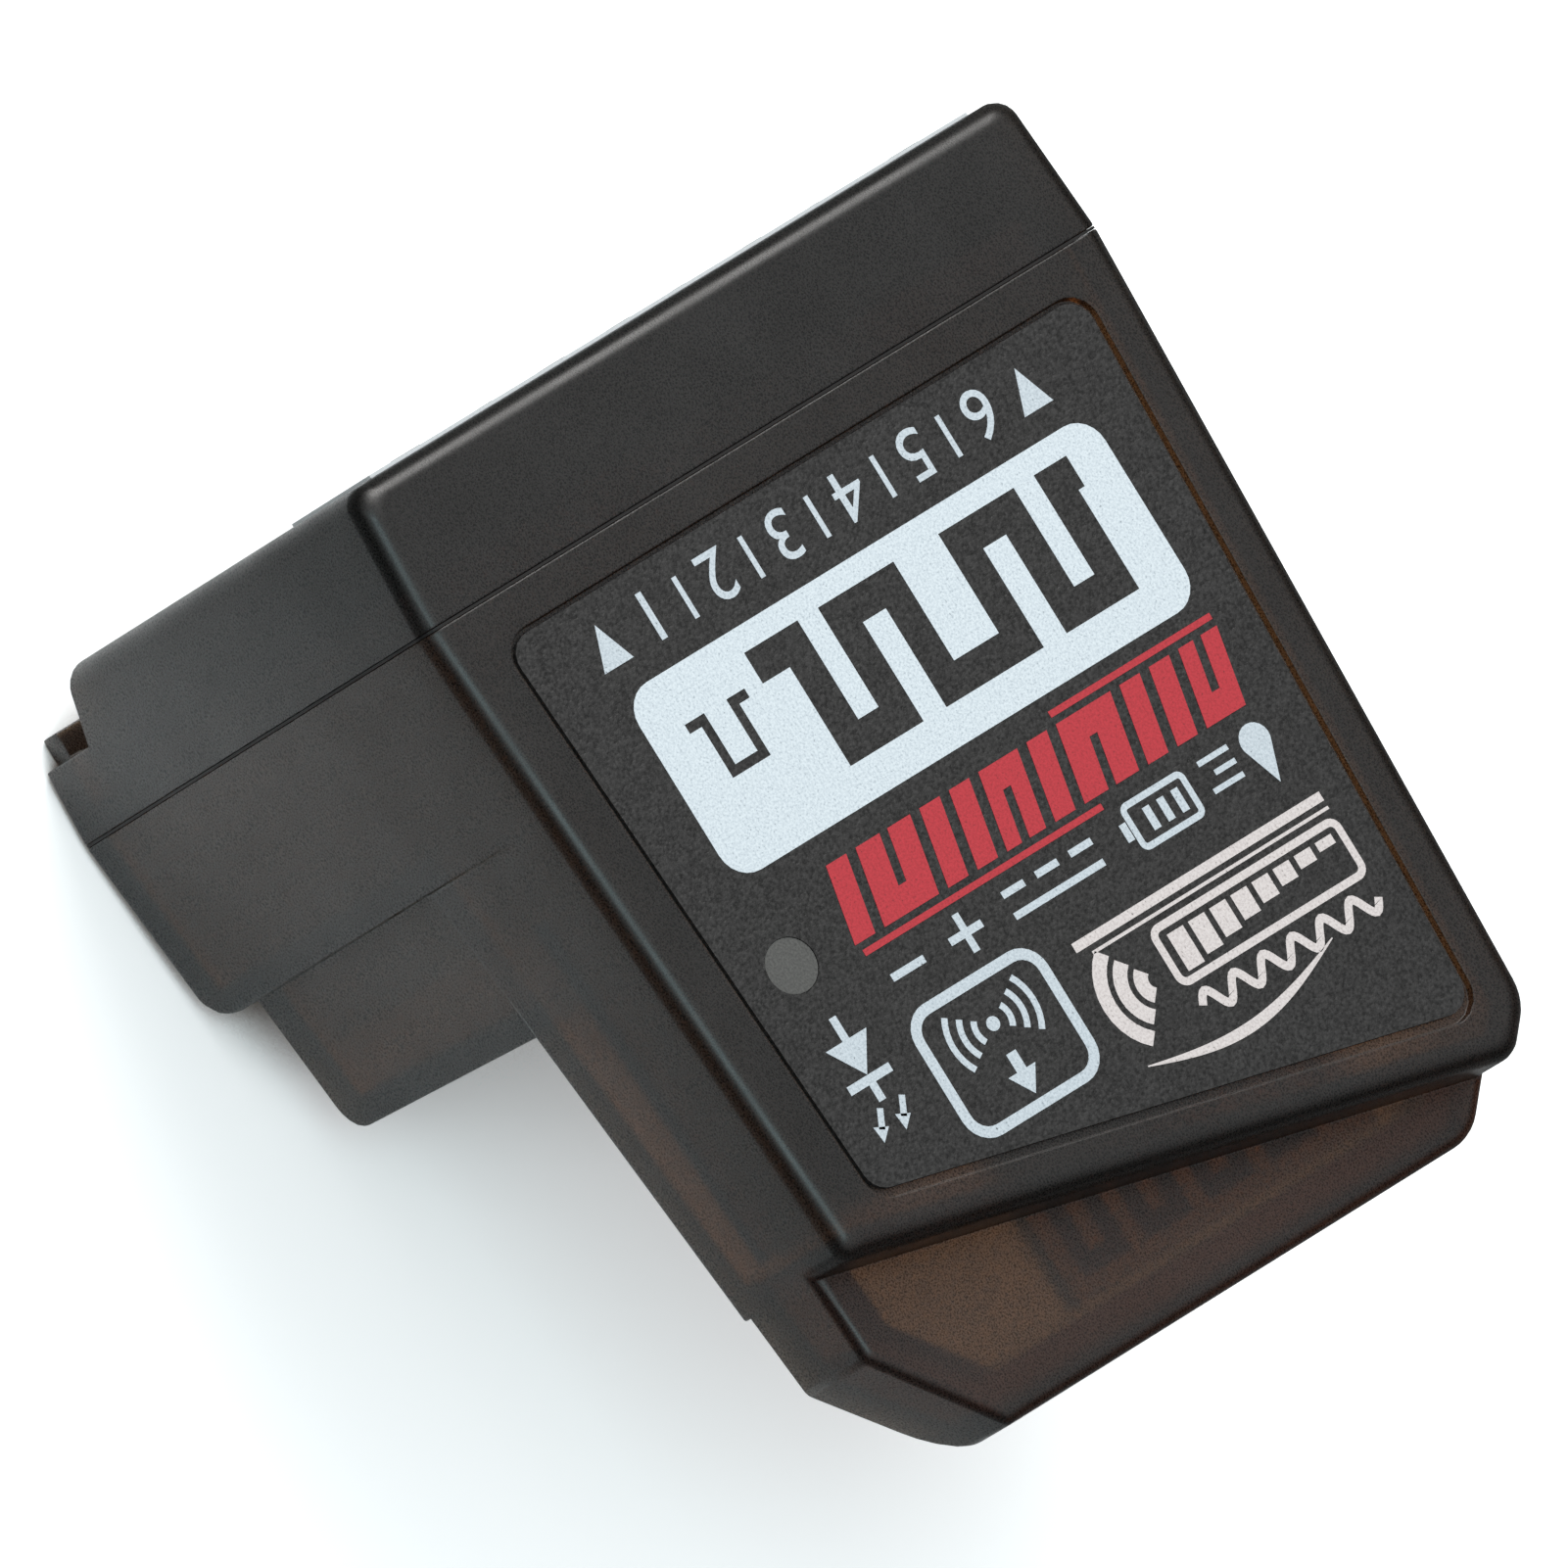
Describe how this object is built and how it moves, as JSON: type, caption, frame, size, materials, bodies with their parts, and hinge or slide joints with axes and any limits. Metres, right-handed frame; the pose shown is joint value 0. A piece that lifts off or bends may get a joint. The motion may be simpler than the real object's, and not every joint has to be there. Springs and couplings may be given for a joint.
{
  "type": "rc receiver",
  "caption": "Small radio control receiver: smoke tinted moulded case with a deep port end, a slanted label platform, a low ledge over the inner antenna, servo ports and circuit boards inside.",
  "frame": {"origin": "middle of the flat tape face on the back of the deep port section", "axes": "+X from the port face to the low ledge, +Y across the label away from the lamp side, +Z out of the label face"},
  "size_m": [0.0325, 0.026, 0.0232],
  "materials": {
    "smoke_case": "fine grained smoke tinted moulding",
    "label_film": "dark satin film with screen print",
    "port_paper": "pale satin film",
    "board_laminate": "solder masked glass laminate",
    "carrier_plastic": "matte moulded",
    "gold_pins": "bright plated",
    "chip_resin": "matte moulded resin",
    "can_metal": "satin can",
    "capacitor_ceramic": "fired ceramic",
    "choke_ferrite": "sintered ferrite",
    "lamp_resin": "clear moulded",
    "antenna_copper": "etched copper under mask"
  },
  "bodies": {
    "root": {"housing": "smoke_case", "lid": "smoke_case", "face_label": "label_film", "port_label": "port_paper", "main_board": "board_laminate", "port_board": "board_laminate", "pin_carrier": "carrier_plastic", "port_1_pins": "gold_pins", "port_2_pins": "gold_pins", "port_3_pins": "gold_pins", "port_4_pins": "gold_pins", "port_5_pins": "gold_pins", "port_6_pins": "gold_pins", "link_bar": "carrier_plastic", "link_pins": "gold_pins", "controller_chip": "chip_resin", "radio_chip": "chip_resin", "crystal": "can_metal", "regulator": "chip_resin", "input_capacitor": "capacitor_ceramic", "output_capacitor": "capacitor_ceramic", "filter_choke": "choke_ferrite", "status_lamp": "lamp_resin", "chip_parts": "capacitor_ceramic", "printed_antenna": "antenna_copper"}
  },
  "joints": []
}
